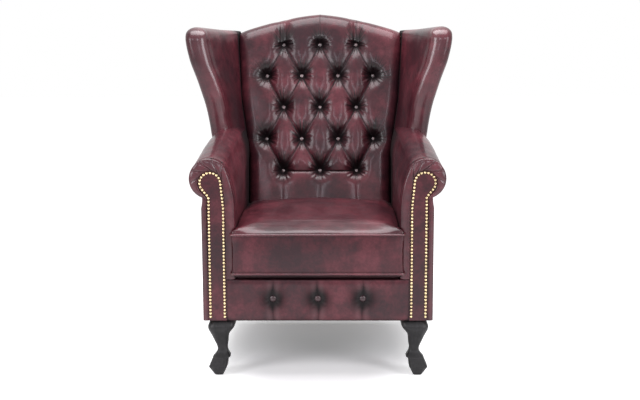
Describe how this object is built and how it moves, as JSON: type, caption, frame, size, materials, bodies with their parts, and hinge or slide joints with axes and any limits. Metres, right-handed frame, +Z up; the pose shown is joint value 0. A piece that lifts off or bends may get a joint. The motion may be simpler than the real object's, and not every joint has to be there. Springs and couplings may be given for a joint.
{
  "type": "wing armchair",
  "caption": "Wing armchair with deep buttoned back, scroll arms, nailed facings, loose seat cushion and cabriole front legs.",
  "frame": {"origin": "on the floor at the bottom centre of the chair's box", "axes": "+Z up, the chair faces -Y, +X to the right as seen from the front"},
  "size_m": [0.8664, 0.8348, 1.1],
  "materials": {
    "oxblood_leather": "glossy antique rub off",
    "deck_leather": "satin",
    "black_wood": "black stain, satin lacquer",
    "beech": "planed, unfinished",
    "antique_brass": "polished domes, dark edges",
    "zip_brass": "dull",
    "steel": "oil tempered",
    "webbing": "woven jute",
    "dust_cloth": "spun cloth",
    "foam": "open cell foam",
    "glide_plastic": "matt"
  },
  "bodies": {
    "chair": {"arm_cover_left": "oxblood_leather", "arm_cover_right": "oxblood_leather", "arm_facing_lower_left": "oxblood_leather", "arm_facing_lower_right": "oxblood_leather", "arm_facing_upper_left": "oxblood_leather", "arm_facing_upper_right": "oxblood_leather", "arm_nails_left": "antique_brass", "arm_nails_right": "antique_brass", "arm_post_left": "beech", "arm_post_right": "beech", "arm_rail_left": "beech", "arm_rail_right": "beech", "back_buttons": "oxblood_leather", "back_foam": "foam", "back_post_left": "beech", "back_post_right": "beech", "back_webbing": "webbing", "border_buttons": "oxblood_leather", "corner_blocks": "beech", "crest_rail": "beech", "deck_pad": "deck_leather", "dust_cover": "dust_cloth", "front_border": "oxblood_leather", "front_leg_left": "black_wood", "front_leg_right": "black_wood", "front_roll_left": "oxblood_leather", "front_roll_right": "oxblood_leather", "front_seat_rail": "beech", "inside_back": "oxblood_leather", "leg_bolts": "steel", "leg_glides": "glide_plastic", "lower_back_rail": "beech", "outside_arm_panel_left": "oxblood_leather", "outside_arm_panel_right": "oxblood_leather", "outside_back_panel": "oxblood_leather", "outside_wing_panel_left": "oxblood_leather", "outside_wing_panel_right": "oxblood_leather", "rear_leg_left": "black_wood", "rear_leg_right": "black_wood", "rear_seat_rail": "beech", "seat_springs": "steel", "side_seat_rail_left": "beech", "side_seat_rail_right": "beech", "spring_clips": "steel", "wing_board_left": "beech", "wing_board_right": "beech", "wing_cover_left": "oxblood_leather", "wing_cover_right": "oxblood_leather", "wing_nails_left": "antique_brass", "wing_nails_right": "antique_brass"},
    "seat_cushion": {"cushion_core": "foam", "cushion_cover": "oxblood_leather", "cushion_piping_bottom": "oxblood_leather", "cushion_piping_top": "oxblood_leather", "cushion_zip": "zip_brass"}
  },
  "joints": [
    {"name": "seat_cushion_slide", "type": "slide", "parent": "chair", "child": "seat_cushion", "axis": [0, -1, 0], "range_m": [0, 0.53]}
  ]
}
